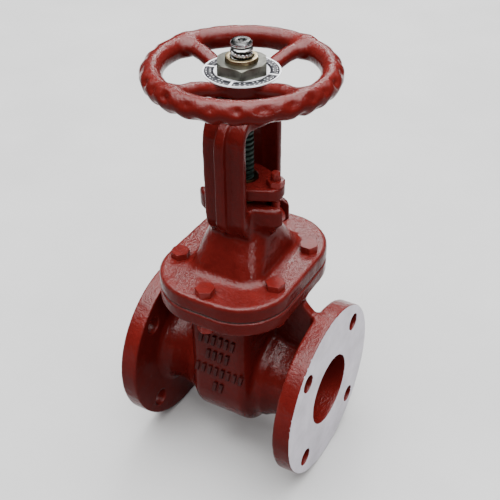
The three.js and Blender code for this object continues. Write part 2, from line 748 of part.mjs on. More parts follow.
// One spoke, rising from the hub and arching over to the rim.
function makeSpoke(angle) {
  const points = SPOKE_PATH.map(([r, z]) => new THREE.Vector3(r * Math.cos(angle), r * Math.sin(angle), z));
  const section = new THREE.Shape();
  section.absarc(0, 0, SPOKE_R, 0, 2 * Math.PI);
  const extrudePath = new THREE.CatmullRomCurve3(points);
  const settings = { steps: 8, extrudePath, curveSegments: 8, bevelEnabled: false };
  return solid(new THREE.ExtrudeGeometry(section, settings));
}

function makeHandwheel() {
  const rim = solid(new THREE.TorusGeometry(WHEEL_R, RIM_R, COARSE, SEGMENTS).translate(0, 0, WHEEL_Z));
  const [z0, z1] = WHEEL_HUB_Z;
  const profile = [
    [0, z0],
    [WHEEL_HUB_R - 1, z0],
    [WHEEL_HUB_R, z0 + 2],
    [WHEEL_HUB_R + 2, z1],
    [0, z1],
  ];
  const spacing = (2 * Math.PI) / SPOKES;
  const spokes = Array.from({ length: SPOKES }, (_, i) => makeSpoke(SPOKE_ANGLE + i * spacing));
  const whole = join(rim, lathe(profile), ...spokes);
  const bore = disc(SLEEVE_R + GAP, z0 - PAST, z1 + PAST);
  const plateSeat = disc(PLATE_R + PAST, z1, z1 + RIM_R, SEGMENTS);
  return cut(whole, bore, keyway(z0 - PAST, z1 + PAST), plateSeat);
}

function addHandwheel() {
  const [hubBottom, hubTop] = WHEEL_HUB_Z;
  const plateTop = hubTop + PLATE_T;
  const [keyIn, keyOut] = [KEY_X[0] + GAP, KEY_X[1] - GAP];
  const keyHalf = KEY_HALF - GAP;
  addPiece("handwheel", makeHandwheel(), "paint");
  addPiece("handwheel_key", box(keyIn, keyOut, -keyHalf, keyHalf, hubBottom + 1, hubTop - GAP), "steel");
  addPiece("index_plate", ring(SLEEVE_R + GAP, PLATE_R, hubTop, plateTop, SEGMENTS), "plate");
  const nut = hexNut(WHEEL_HEX, SLEEVE_R + GAP, plateTop, plateTop + WHEEL_NUT_H);
  addPiece("handwheel_nut", nut.rotate([0, 0, 30]), "zinc");
}

addBody();
addBonnet();
addBonnetBolts();
addStemAndWedge();
addGland();
addYokeNut();
addHandwheel();

export default valve;
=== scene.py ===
"""The look of a rising-stem gate valve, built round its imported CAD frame.

Shapes are worked out in millimetres and turned into metres when a mesh is made. Castings are
distance fields with real fillets, skinned by surface nets; turned and hexagonal pieces are stacks
of rings. Everything stands in the frame's own place: X along the pipe, Z up the stem.
"""
import math

import bpy
import numpy as np
from mathutils import Matrix, Vector


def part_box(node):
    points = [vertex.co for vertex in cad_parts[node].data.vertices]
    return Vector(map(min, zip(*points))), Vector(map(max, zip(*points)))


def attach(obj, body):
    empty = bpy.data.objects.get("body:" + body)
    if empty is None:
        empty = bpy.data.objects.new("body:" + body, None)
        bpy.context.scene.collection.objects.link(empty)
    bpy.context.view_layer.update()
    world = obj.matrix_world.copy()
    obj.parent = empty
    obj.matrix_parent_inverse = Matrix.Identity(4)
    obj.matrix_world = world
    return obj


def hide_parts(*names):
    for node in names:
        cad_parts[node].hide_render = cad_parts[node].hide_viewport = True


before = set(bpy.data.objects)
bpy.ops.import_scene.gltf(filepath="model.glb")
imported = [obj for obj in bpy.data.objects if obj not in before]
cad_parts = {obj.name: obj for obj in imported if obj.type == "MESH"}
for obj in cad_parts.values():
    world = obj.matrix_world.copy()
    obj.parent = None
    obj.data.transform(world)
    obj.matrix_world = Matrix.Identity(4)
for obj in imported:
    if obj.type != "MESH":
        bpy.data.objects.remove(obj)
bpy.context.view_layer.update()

MM = 0.001
SIDES = (("left", -1), ("right", 1))


def cad(node):
    """The lowest and highest corners of a CAD node, in millimetres."""
    low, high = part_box(node)
    return [v / MM for v in low], [v / MM for v in high]


# ---------------------------------------------------------------- sizes, read from the frame

BODY_LOW, BODY_HIGH = cad("body")
BONNET_LOW, BONNET_HIGH = cad("bonnet")
WHEEL_LOW, WHEEL_HIGH = cad("handwheel")
STEM_LOW, STEM_HIGH = cad("stem")
GLAND_LOW, GLAND_HIGH = cad("gland_flange")
PLATE_LOW, PLATE_HIGH = cad("index_plate")

FACE_X = BODY_HIGH[0]
FLANGE_R = BODY_HIGH[1]
FLANGE_T = 19.05
BOLT_CIRCLE_R = 76.2
HOLE_AT = BOLT_CIRCLE_R * math.sqrt(0.5)
HOLE_R = 9.5
PORT_R = 39.0
JOINT_Z = BODY_HIGH[2]
JOINT_X = BONNET_HIGH[0]
JOINT_Y = BONNET_HIGH[1]
JOINT_CORNER = 54.0
BODY_FLANGE_Z = 111.5
BONNET_Z = BONNET_LOW[2]
BONNET_TOP = 145.0
HUB_Z = (296.0, BONNET_HIGH[2])
CHAMBER_X = 34.0
CHAMBER_Y = 61.0
END_BOLT_Y = 76
SIDE_BOLT_X, SIDE_BOLT_Y = 54, 36
BOLT_AT = [(0, END_BOLT_Y), (SIDE_BOLT_X, SIDE_BOLT_Y), (SIDE_BOLT_X, -SIDE_BOLT_Y),
           (0, -END_BOLT_Y), (-SIDE_BOLT_X, -SIDE_BOLT_Y), (-SIDE_BOLT_X, SIDE_BOLT_Y)]
BOLT_HOLE_R = 6.2
BOLT_HEX = 17
BOX_TOP = 215.0
BOX_BORE_R = 17.2
GLAND_BOLT_X = 34.5
GLAND_HEX = 15.5
GLAND_NUT_TURN = -4
EYE_Z = 200.0
EYE_HOLE_R = 3.8
SHANK_R = 4.6
PIN_REACH = 13.5
PIN_R = 3.5
RIM_TUBE = 10.4
WHEEL_Z = WHEEL_HIGH[2] - RIM_TUBE
STEM_R = 10
STEM_BORE_R = 10.4
THREAD_PITCH = 5.0
WHEEL_HEX = 43.0
WHEEL_BORE_R = 14.8
TAPER = math.radians(4)
DEGREE = math.radians(1)

# Sampling steps of the fields. A coarser body shows waves along its flange edges.
BODY_STEP = 1.3
BONNET_STEP = 1.2
WEDGE_STEP = 1.1
WHEEL_STEP = 1.0
GLAND_STEP = 0.9


# ---------------------------------------------------------------- distance fields

class Grid:
    """Sample points of a box, as three arrays that broadcast against each other."""

    def __init__(self, low, high, step):
        steps = step if isinstance(step, tuple) else (step,) * 3
        spans = zip(low, high, steps)
        axes = [np.arange(a - 2 * s, b + 2.5 * s, s, dtype=np.float32) for a, b, s in spans]
        self.origin = np.array([axis[0] for axis in axes], float)
        self.step = np.array(steps, float)
        self.shape = tuple(len(axis) for axis in axes)
        self.x, self.y, self.z = np.meshgrid(*axes, indexing="ij", sparse=True)


def meet(a, b, r=0.0):
    """Where both fields are inside, with the edge between them rounded to radius r."""
    if r == 0:
        return np.maximum(a, b)
    u, v = a + r, b + r
    return np.hypot(np.maximum(u, 0), np.maximum(v, 0)) + np.minimum(np.maximum(u, v), 0) - r


def join(a, b, r=0.0):
    """Where either field is inside, with a fillet of radius r between them."""
    return -meet(-a, -b, r)


def cut(a, b, r=0.0):
    """Where a is inside and b is not."""
    return meet(a, -b, r)


def between(w, low, high):
    """Negative while w is between two values."""
    return np.maximum(low - w, w - high)


def round_box(u, v, a, b, r):
    """A rounded rectangle of half sizes a and b."""
    p, q = np.abs(u) - a + r, np.abs(v) - b + r
    return np.hypot(np.maximum(p, 0), np.maximum(q, 0)) + np.minimum(np.maximum(p, q), 0) - r


def oval(u, v, reach, middle, end):
    """Two end circles and a larger middle circle, joined by their tangents, long along u."""
    h = reach - end
    lean = (middle - end) / h
    rise = np.sqrt(1 - lean * lean)
    p, q = np.abs(v), np.abs(u)
    along = rise * q - lean * p
    sides = rise * p + lean * q - middle
    field = np.where(along < 0, np.hypot(p, q) - middle, sides)
    return np.where(along > rise * h, np.hypot(p, q - h) - end, field)


def polygon(u, v, points):
    """Exact distance to a closed outline, negative inside."""
    best, odd = None, None
    for (ax, ay), (bx, by) in zip(points, points[1:] + points[:1]):
        ex, ey = bx - ax, by - ay
        wx, wy = u - ax, v - ay
        t = np.clip((wx * ex + wy * ey) / (ex * ex + ey * ey), 0, 1)
        far = np.hypot(wx - ex * t, wy - ey * t)
        crosses = (v >= min(ay, by)) & (v < max(ay, by))
        hit = crosses & (ex * (v - ay) / (ey or 1) + ax > u)
        best = far if best is None else np.minimum(best, far)
        odd = hit if odd is None else odd ^ hit
    return np.where(odd, -best, best)


def bezier(a, b, c, steps=8):
    """Points of a quadratic curve after its first."""
    def at(t):
        return tuple((1 - t) ** 2 * p + 2 * t * (1 - t) * q + t * t * s for p, q, s in zip(a, b, c))
    return [at(i / steps) for i in range(1, steps + 1)]


CORNERS = np.array([[i, j, k] for i in (0, 1) for j in (0, 1) for k in (0, 1)])
EDGES = [(a, b) for a in range(8) for b in range(a + 1, 8) if abs(CORNERS[a] - CORNERS[b]).sum() == 1]


def surface_nets(grid, field):
    """Vertices and quads of the field's zero level, one vertex in each cell that it crosses."""
    field = np.broadcast_to(field, grid.shape)
    inside = field < 0
    count = np.zeros([n - 1 for n in grid.shape], np.uint8)
    for i, j, k in CORNERS:
        count += inside[i:grid.shape[0] - 1 + i, j:grid.shape[1] - 1 + j, k:grid.shape[2] - 1 + k]
    active = (count > 0) & (count < 8)
    cells = np.argwhere(active)
    number = np.full(active.shape, -1, np.int32)
    number[active] = np.arange(len(cells))
    values = np.stack([field[tuple((cells + c).T)] for c in CORNERS], 1)
    total, hits = np.zeros((len(cells), 3)), np.zeros(len(cells))
    for a, b in EDGES:
        crossed = (values[:, a] < 0) != (values[:, b] < 0)
        t = values[crossed, a] / (values[crossed, a] - values[crossed, b])
        total[crossed] += CORNERS[a] + (CORNERS[b] - CORNERS[a]) * t[:, None]
        hits += crossed
    verts = grid.origin + (cells + total / hits[:, None]) * grid.step
    quads = []
    for d in range(3):
        e, f = np.eye(3, dtype=int)[(d + 1) % 3], np.eye(3, dtype=int)[(d + 2) % 3]
        here = np.take(inside, range(grid.shape[d] - 1), d)
        there = np.take(inside, range(1, grid.shape[d]), d)
        at = np.argwhere(here != there)
        quad = np.stack([number[tuple((at - o).T)] for o in (e + f, f, 0 * e, e)], 1)
        outward = here[tuple(at.T)]
        quads.append(np.where(outward[:, None], quad, quad[:, ::-1]))
    return verts, np.concatenate(quads)


RANDOM = np.random.RandomState(11).uniform(-1, 1, (32, 32, 32))


def lumps(points, size):
    """Smooth random values from -1 to 1, with features of about the given size."""
    scaled = points / size
    whole = np.floor(scaled).astype(int)
    t = scaled - whole
    t = t * t * (3 - 2 * t)
    value = np.zeros(len(points))
    for c in CORNERS:
        weight = np.prod(np.where(c, t, 1 - t), 1)
        value += weight * RANDOM[tuple(((whole + c) % 32).T)]
    return value


# ---------------------------------------------------------------- meshes and pieces

def add_mesh(name, verts, faces, sharp=None):
    """A mesh object from points in millimetres; edges steeper than sharp degrees stay crisp."""
    mesh = bpy.data.meshes.new(name)
    mesh.from_pydata((np.asarray(verts, float) * MM).tolist(), [], [list(map(int, f)) for f in faces])
    mesh.validate()
    mesh.shade_smooth()
    if sharp:
        mesh.set_sharp_from_angle(angle=math.radians(sharp))
    piece = bpy.data.objects.new(name, mesh)
    bpy.context.scene.collection.objects.link(piece)
    return piece


def casting(name, grid, field, rough=0.0, smooth_where=None):
    """Skins a field; rough is the height of the sand-cast skin, left off where smooth_where is true."""
    verts, quads = surface_nets(grid, field)
    piece = add_mesh(name, verts, quads)
    if rough:
        normals = np.zeros(len(verts) * 3, np.float32)
        piece.data.vertices.foreach_get("normal", normals)
        height = 0.4 * lumps(verts, 16.0) + 0.35 * lumps(verts + 91, 5.5) + 0.25 * lumps(verts + 37, 2.7)
        if smooth_where is not None:
            height = np.where(smooth_where(verts), 0, height)
        verts = verts + normals.reshape(-1, 3) * (height * rough)[:, None]
        piece.data.vertices.foreach_set("co", (verts * MM).astype(np.float32).ravel())
        piece.data.update()
    return piece


def stack(name, rings, closed=False, sharp=32):
    """Skins rings of equal length. closed joins the last ring to the first, as for a piece with a bore."""
    n = len(rings[0])
    verts = [p for ring in rings for p in ring]
    count = len(rings) if closed else len(rings) - 1
    faces = []
    for i in range(count):
        a, b = i * n, ((i + 1) % len(rings)) * n
        faces += [(a + j, a + (j + 1) % n, b + (j + 1) % n, b + j) for j in range(n)]
    if not closed:
        for ring, start, turn in ((rings[0], 0, -1), (rings[-1], (len(rings) - 1) * n, 1)):
            verts.append(tuple(sum(p[k] for p in ring) / n for k in range(3)))
            last = len(verts) - 1
            faces += [(start + j, start + (j + 1) % n, last)[::turn] for j in range(n)]
    return add_mesh(name, verts, faces, sharp)


def circle(r, z, n):
    """A ring of n points; r and z are numbers or functions of the angle."""
    out = []
    for j in range(n):
        angle = 2 * math.pi * j / n
        radius, height = (f(angle) if callable(f) else f for f in (r, z))
        out.append((radius * math.cos(angle), radius * math.sin(angle), height))
    return out


def soften(profile, r, closed=True):
    """Rounds each corner of a profile to about radius r."""
    out = []
    n = len(profile)
    for i, corner in enumerate(profile):
        if not closed and i in (0, n - 1):
            out.append(corner)
            continue
        here, before, after = Vector(corner), Vector(profile[i - 1]), Vector(profile[(i + 1) % n])
        back, ahead = before - here, after - here
        reach = min(r, back.length * 0.45, ahead.length * 0.45)
        start, end = here + back.normalized() * reach, here + ahead.normalized() * reach
        out += [tuple(start)] + bezier(tuple(start), corner, tuple(end), 3)
    return out


def turned(name, profile, r=0.5, n=72):
    """A turned piece with a bore, from a profile of (radius, height), wound outwards then up."""
    rings = [circle(radius, z, n) for radius, z in soften(profile, r)]
    return stack(name, rings, True)


def tube_profile(inner, outer, z0, z1):
    """The section of a plain ring or tube."""
    return [(inner, z0), (outer, z0), (outer, z1), (inner, z1)]


HEX_CORNER = 0.012


def hex_radius(flats):
    """Radius of a hexagon's edge as a function of angle, its corners taken off a little."""
    half = flats / 2

    def radius(angle):
        fold = (angle + math.pi / 6) % (math.pi / 3) - math.pi / 6
        return min(half / math.cos(fold), half / math.cos(math.pi / 6) * (1 - HEX_CORNER))
    return radius


def hex_rings(flats, z0, z1, n, chamfer_low=False):
    """Rings up a hexagon whose corners are chamfered at the top and, if asked, at the foot."""
    edge = hex_radius(flats)
    reach = flats / 2 * 1.05

    def face(angle):
        return min(edge(angle), reach)

    def drop(angle):
        return max(0.0, edge(angle) - reach) * 0.7 + 0.15
    low = [circle(edge, z0, n)]
    if chamfer_low:
        low = [circle(face, z0, n), circle(edge, lambda a: z0 + drop(a), n)]
    return low + [circle(edge, lambda a: z1 - drop(a), n), circle(lambda a: face(a) - 0.2, z1, n)]


def threaded(z0, z1, crest, root, pitch, n, rows_per_pitch, hand=1):
    """Rings of a screw thread from z0 up to z1, faded into the root at both ends."""
    rows = max(4, int((z1 - z0) / pitch * rows_per_pitch))
    rings = []
    for i in range(rows + 1):
        z = z0 + (z1 - z0) * i / rows
        fade = min(1.0, (z - z0) / (0.4 * pitch), (z1 - z) / (0.4 * pitch))

        def radius(angle, z=z, fade=fade):
            phase = (z / pitch - hand * angle / (2 * math.pi)) % 1
            height = min(1.0, max(0.0, (0.35 - abs(phase - 0.5)) / 0.12))
            return root + (crest - root) * height * fade
        rings.append(circle(radius, z, n))
    return rings


def move(piece, x=0.0, y=0.0, z=0.0, turn=0.0):
    """Turns a piece about its own Z, then moves it, in its mesh."""
    place = Matrix.Translation(Vector((x, y, z)) * MM) @ Matrix.Rotation(math.radians(turn), 4, "Z")
    piece.data.transform(place)
    return piece


def place(piece, body, slot, finish, *nodes):
    """Gives a piece its finish, its body and the CAD nodes that it stands for."""
    for material in finish if isinstance(finish, list) else [finish]:
        piece.data.materials.append(material)
    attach(piece, body)
    if nodes:
        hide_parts(*nodes)
    return piece


def facing_seat(name, inner, outer, near, far, r, sign):
    """A turned ring about the pipe axis, near to far from the middle, tilted to the wedge's taper."""
    ring = turned(name, tube_profile(inner, outer, near, far), r, 96)
    tilt = Matrix.Rotation(sign * TAPER, 4, "Y") @ Matrix.Rotation(sign * math.pi / 2, 4, "Y")
    ring.data.transform(tilt)
    return ring


# ---------------------------------------------------------------- materials

ENAMEL = (0.112, 0.0086, 0.0070)


class Nodes:
    """A small wrapper that adds shader nodes and links them by socket name."""

    def __init__(self, name):
        self.material = bpy.data.materials.new(name)
        self.material.use_nodes = True
        self.tree = self.material.node_tree
        self.shader = self.tree.nodes["Principled BSDF"]
        coords = self.tree.nodes.new("ShaderNodeTexCoord")
        self.where = coords.outputs["Object"]

    def add(self, kind, inputs=None, **settings):
        node = self.tree.nodes.new("ShaderNode" + kind)
        for key, value in settings.items():
            setattr(node, key, value)
        for key, value in (inputs or {}).items():
            self.set(node, key, value)
        return node

    def set(self, node, key, value):
        socket = node.inputs[key]
        if isinstance(value, bpy.types.NodeSocket):
            self.tree.links.new(value, socket)
        else:
            socket.default_value = value

    def noise(self, size_mm, detail=4.0, roughness=0.55):
        """Noise with features of about the given size."""
        node = self.add("TexNoise", {"Vector": self.where, "Scale": 1000 / size_mm, "Detail": detail,
                                     "Roughness": roughness})
        return node.outputs["Fac"]

    def ramp(self, fac, low, high):
        """Blends between two stops, each a position and a colour."""
        node = self.add("ValToRGB", {"Fac": fac})
        for element, (at, colour) in zip(node.color_ramp.elements, (low, high)):
            element.position = at
            element.color = (*colour, 1)
        return node.outputs["Color"]

    def span(self, fac, low, high, to_low, to_high):
        """Maps a value from one range to another."""
        node = self.add("MapRange", {"Value": fac, "From Min": low, "From Max": high,
                                     "To Min": to_low, "To Max": to_high})
        return node.outputs["Result"]

    def math(self, operation, a, b=0.0):
        return self.add("Math", {0: a, 1: b}, operation=operation).outputs[0]

    def length(self, a, b):
        """The length of a vector of two parts."""
        return self.math("SQRT", self.math("ADD", self.math("MULTIPLY", a, a), self.math("MULTIPLY", b, b)))

    def mix(self, fac, a, b):
        """Blends from colour a to colour b; each is a socket or three numbers."""
        node = self.add("Mix", {"Factor": fac}, data_type="RGBA")
        self.set(node, 6, a if isinstance(a, bpy.types.NodeSocket) else (*a, 1))
        self.set(node, 7, b if isinstance(b, bpy.types.NodeSocket) else (*b, 1))
        return node.outputs[2]

    def bump(self, height, distance_mm, strength=1.0, normal=None):
        """A normal roughened by a height, on top of another normal if one is given."""
        inputs = {"Height": height, "Distance": distance_mm * MM, "Strength": strength}
        if normal is not None:
            inputs["Normal"] = normal
        return self.add("Bump", inputs).outputs["Normal"]

    def curve(self, low, high, to_low, to_high):
        """A value from how sharply the surface is curved: below 0.5 in hollows, above it on edges."""
        return self.span(self.add("NewGeometry").outputs["Pointiness"], low, high, to_low, to_high)


def cast_paint():
    """Oxide-red enamel over a sand-cast skin: painted shade in hollows, and edges lighter from thin paint and
    a painted highlight.

    Faces that look up are glossier and rougher than upright ones, and upright faces are darkened by painted
    shade.
    """
    m = Nodes("oxide_red_enamel")
    broad = m.noise(42, 3)
    blotch = m.noise(9, 5, 0.6)
    colour = m.ramp(broad, (0.3, ENAMEL), (0.7, (0.160, 0.0125, 0.0100)))
    colour = m.mix(m.span(blotch, 0.35, 0.75, 0.0, 0.35), colour, (0.07, 0.0055, 0.0048))
    # Edges lighter: partly thin paint, partly a painted highlight along them.
    rim = m.math("MULTIPLY", m.curve(0.52, 0.6, 0.0, 1.0), m.span(m.noise(3.2, 3), 0.45, 0.65, 0.0, 0.6))
    colour = m.mix(m.math("MULTIPLY", rim, 0.3), colour, (0.22, 0.030, 0.022))
    # Painted shade: the colour darkens where the surface curves inward, in hollows, creases and fillets.
    colour = m.mix(m.curve(0.42, 0.495, 0.85, 0.0), colour, (0.03, 0.003, 0.0026))
    facing = m.add("SeparateXYZ", {"Vector": m.add("NewGeometry").outputs["Normal"]}).outputs["Z"]
    # Painted shade: the more upright a face, the darker its colour, as if lit less from above.
    upright_painted_shade = m.span(facing, 0.0, 0.95, 0.72, 0.0)
    colour = m.mix(upright_painted_shade, colour, (0.036, 0.0027, 0.0023))
    m.set(m.shader, "Base Color", colour)
    m.set(m.shader, "Roughness", m.span(m.noise(5, 4), 0.3, 0.7, 0.10, 0.22))
    sand = m.bump(m.noise(2.4, 3, 0.6), 0.7, m.span(facing, 0.4, 0.9, 0.3, 1.0))
    m.set(m.shader, "Normal", m.bump(m.noise(7.5, 3), 0.5, 0.6, sand))
    m.set(m.shader, "Specular IOR Level", m.span(facing, 0.3, 0.9, 0.045, 0.42))
    return m.material


def fastener_paint():
    """The same enamel, brushed over machined bolts and nuts, so smoother, and worn in small specks."""
    m = Nodes("enamel_on_fasteners")
    colour = m.ramp(m.noise(7, 4), (0.3, ENAMEL), (0.7, (0.165, 0.0125, 0.0100)))
    worn = m.span(m.noise(1.6, 3, 0.7), 0.62, 0.72, 0.0, 0.3)
    colour = m.mix(worn, colour, (0.24, 0.04, 0.03))
    m.set(m.shader, "Base Color", colour)
    m.set(m.shader, "Roughness", m.span(m.noise(3, 3), 0.3, 0.7, 0.15, 0.3))
    m.set(m.shader, "Normal", m.bump(m.noise(1.8, 2), 0.08, 0.5))
    m.set(m.shader, "Specular IOR Level", 0.11)
    return m.material


def metal(name, dark, light, stain, rough, grain_mm, bump_mm):
    """Machined or plated metal with mottled and stained colour, uneven polish and fine tool marks."""
    m = Nodes(name)
    colour = m.ramp(m.noise(grain_mm * 4, 4), (0.3, dark), (0.72, light))
    colour = m.mix(m.span(m.noise(grain_mm * 2.3, 5, 0.7), 0.55, 0.72, 0.0, 0.8), colour, stain)
    m.set(m.shader, "Base Color", colour)
    m.set(m.shader, "Metallic", 1.0)
    m.set(m.shader, "Roughness", m.span(m.noise(grain_mm, 4), 0.3, 0.7, rough - 0.08, rough + 0.12))
    m.set(m.shader, "Normal", m.bump(m.noise(grain_mm * 0.5, 3), bump_mm, 0.6))
    return m.material


def faced_iron():
    """A bare flange face, turned in fine circles round the pipe axis and lightly oiled."""
    m = Nodes("faced_iron")
    split = m.add("SeparateXYZ", {"Vector": m.where})
    radius = m.length(split.outputs["Y"], split.outputs["Z"])
    grooves = m.math("SINE", m.math("MULTIPLY", radius, 2 * math.pi / (1.1 * MM)))
    colour = m.ramp(m.noise(30, 4), (0.3, (0.42, 0.395, 0.44)), (0.7, (0.55, 0.52, 0.58)))
    colour = m.mix(m.span(m.noise(3, 4, 0.7), 0.62, 0.75, 0.0, 0.35), colour, (0.36, 0.31, 0.33))
    m.set(m.shader, "Base Color", colour)
    m.set(m.shader, "Metallic", 0.55)
    m.set(m.shader, "Roughness", m.span(m.noise(8, 3), 0.3, 0.7, 0.34, 0.5))
    fine = m.bump(m.noise(0.8, 2), 0.03, 0.5)
    m.set(m.shader, "Normal", m.bump(grooves, 0.02, 0.7, fine))
    return m.material


def greased_stem():
    """Bright steel at the tip, going to dark greenish grease in the threads below the yoke hub, both with
    painted shade in the thread roots.
    """
    m = Nodes("greased_stem_steel")
    split = m.add("SeparateXYZ", {"Vector": m.where})
    radius = m.length(split.outputs["X"], split.outputs["Y"])
    clean = m.span(split.outputs["Z"], 0.30, 0.345, 0.0, 1.0)
    steel = m.ramp(m.noise(12, 3), (0.3, (0.50, 0.50, 0.51)), (0.7, (0.68, 0.68, 0.69)))
    # Painted shade: the steel darkens in the thread roots.
    steel = m.mix(m.span(radius, 8.2 * MM, 9.7 * MM, 0.95, 0.0), steel, (0.015, 0.015, 0.013))
    grime = m.ramp(m.noise(4, 3, 0.5), (0.35, (0.006, 0.013, 0.010)), (0.7, (0.022, 0.040, 0.032)))
    # Painted shade: the grease darkens further in the thread roots.
    grime = m.mix(m.span(radius, 7.8 * MM, 9.3 * MM, 0.9, 0.0), grime, (0.003, 0.004, 0.003))
    m.set(m.shader, "Base Color", m.mix(clean, grime, steel))
    m.set(m.shader, "Metallic", m.span(clean, 0.0, 1.0, 0.15, 1.0))
    uneven = m.span(m.noise(6, 3), 0.3, 0.7, 0.2, 0.3)
    m.set(m.shader, "Roughness", m.math("ADD", uneven, m.span(clean, 0, 1, 0.25, 0)))
    m.set(m.shader, "Specular IOR Level", m.span(clean, 0.0, 1.0, 0.12, 0.5))
    m.set(m.shader, "Normal", m.bump(m.noise(2.5, 2), 0.03, 0.4))
    return m.material


def plain(name, dark, light, rough, grain_mm, bump_mm, gloss=0.5):
    """A non-metal: mottled colour, uneven gloss and a fine bump."""
    m = Nodes(name)
    m.set(m.shader, "Base Color", m.ramp(m.noise(grain_mm * 3, 4), (0.35, dark), (0.7, light)))
    uneven = m.noise(grain_mm * 1.5, 3)
    m.set(m.shader, "Roughness", m.span(uneven, 0.3, 0.7, rough - 0.08, rough + 0.08))
    m.set(m.shader, "Normal", m.bump(m.noise(grain_mm, 3), bump_mm, 0.7))
    m.set(m.shader, "Specular IOR Level", gloss)
    return m.material


PAINT = cast_paint()
BOLT_PAINT = fastener_paint()
# A darker copy of the enamel for the cast marks: painted shade of their raised relief.
SHADED_MARK_PAINT = plain("enamel_painted_shade_on_marks", (0.022, 0.002, 0.002), (0.055, 0.006, 0.005), 0.45, 2.0, 0.05,
                   gloss=0.08)
FACED = faced_iron()
STEEL = greased_stem()
# Bronze made dark all over: painted shade of the gap round the stem that the gland sleeve sits in.
BRONZE_IN_PAINTED_SHADE = metal("bronze_darkened_as_painted_shade", (0.035, 0.02, 0.012), (0.10, 0.065, 0.03), (0.02, 0.015, 0.012),
                   0.35, 3, 0.05)
IRON = metal("machined_iron", (0.20, 0.19, 0.19), (0.36, 0.35, 0.35), (0.16, 0.09, 0.06), 0.42, 5, 0.06)
BRONZE = metal("yoke_nut_bronze", (0.28, 0.22, 0.12), (0.47, 0.39, 0.23), (0.16, 0.13, 0.08), 0.32, 3, 0.05)
ZINC = metal("scuffed_zinc", (0.075, 0.075, 0.062), (0.155, 0.155, 0.13), (0.07, 0.07, 0.05),
             0.36, 2.5, 0.06)
PLATE = plain("printed_disc", (0.80, 0.81, 0.85), (0.93, 0.93, 0.96), 0.30, 2.0, 0.02)
INK = plain("dark_print", (0.008, 0.008, 0.012), (0.04, 0.04, 0.05), 0.42, 1.0, 0.02)
GRAPHITE = plain("braided_graphite", (0.010, 0.010, 0.011), (0.045, 0.045, 0.05), 0.62, 1.6, 0.4)
SHEET = plain("gasket_fibre", (0.020, 0.008, 0.007), (0.055, 0.022, 0.018), 0.85, 1.2, 0.12)


# ---------------------------------------------------------------- body

# Outside of a neck: distance from the middle and radius.
NECK = [(0, 51), (39, 51), (44, 50), (49, 47.2), (54, 45.6), (60, 44.9), (68, 44.9), (74, 46), (79, 48.6),
        (83, 52), (110, 52)]
# Rows of cast marks: height on the chamber, length of a bar, number of bars, shift to the right.
MARK_ROWS = ((73, 13, 6, 1), (52, 13, 4, 1), (30, 12, 8, 2), (8, 13, 2, 0))
MARK_PITCH, MARK_WIDTH, MARK_LEAN = 7.4, 4.2, 0.22


def chamber(g, x, y, corner, edge):
    """The wedge chamber: a rounded box above the pipe axis and a half round below it."""
    plan = round_box(g.x, g.y, x, y, corner)
    depth = np.hypot(g.y, np.minimum(g.z, 0)) - y
    side = np.abs(g.x) - x
    return np.maximum(plan, meet(depth, side, edge))


def pipe_end(g):
    """Both necks and pipe flanges, less their holes."""
    x, radial = np.abs(g.x), np.hypot(g.y, g.z)
    neck = (radial - np.interp(x, *zip(*NECK))) * 0.9
    neck = meet(neck, x - (FACE_X - 6))
    rim = meet(radial - (FLANGE_R - 0.35), (FACE_X - FLANGE_T) - x, 1.6)
    rim = meet(rim, x - FACE_X, 0.7)
    holes = np.hypot(np.abs(g.y) - HOLE_AT, np.abs(g.z) - HOLE_AT) - HOLE_R
    return cut(join(neck, rim, 4.5), meet(holes, 78 - x), 0.6)


def gusset(g):
    """The web from each pipe flange up to the joint flange, on the XZ plane."""
    x = np.abs(g.x)
    back = (FACE_X - FLANGE_T + 0.5) - x
    crest = FLANGE_R - 0.6 + 0.44 * back + 0.035 * back * np.abs(back)
    web = meet(np.abs(g.y) - 4.8, (g.z - crest) * 0.72, 2.4)
    return meet(meet(web, -back), 20 - g.z)


def joint_flange(g, z0, z1, low_r, high_r):
    """One of the two oval flanges of the joint, its edges rounded below and above."""
    outline = round_box(g.x, g.y, JOINT_X - 0.3, JOINT_Y - 0.3, JOINT_CORNER)
    return meet(meet(outline, z0 - g.z, low_r), g.z - z1, high_r)


def bolt_holes(g):
    """The six holes of the joint, right through."""
    x, y = np.abs(g.x), np.abs(g.y)
    return np.minimum(np.hypot(x, y - END_BOLT_Y), np.hypot(x - SIDE_BOLT_X, y - SIDE_BOLT_Y)) - BOLT_HOLE_R


def seat_axis(g):
    """Distances along and around the axis that is square to the wedge's tapered face."""
    x = np.abs(g.x)
    along = x * math.cos(TAPER) - g.z * math.sin(TAPER)
    around = np.hypot(g.y, x * math.sin(TAPER) + g.z * math.cos(TAPER))
    return along, around


def body_hollow(g):
    """Inside: the wedge chamber with its seat bosses and guide ribs, the port and the seat pockets."""
    x, radial = np.abs(g.x), np.hypot(g.y, g.z)
    hollow = chamber(g, 26, 53.5, 7, 5)
    slot = x - (12.53 + 2 + g.z * math.tan(TAPER))
    kept = meet(radial - 50, -slot)
    rib = meet(meet(x - 3.5, 46 - np.abs(g.y)), between(g.z, -30, 115))
    space = cut(cut(hollow, kept, 1), rib)
    along, around = seat_axis(g)
    pocket = meet(around - 46.8, between(along, 14.2, 23.8))
    return np.minimum(np.minimum(space, pocket), radial - PORT_R)


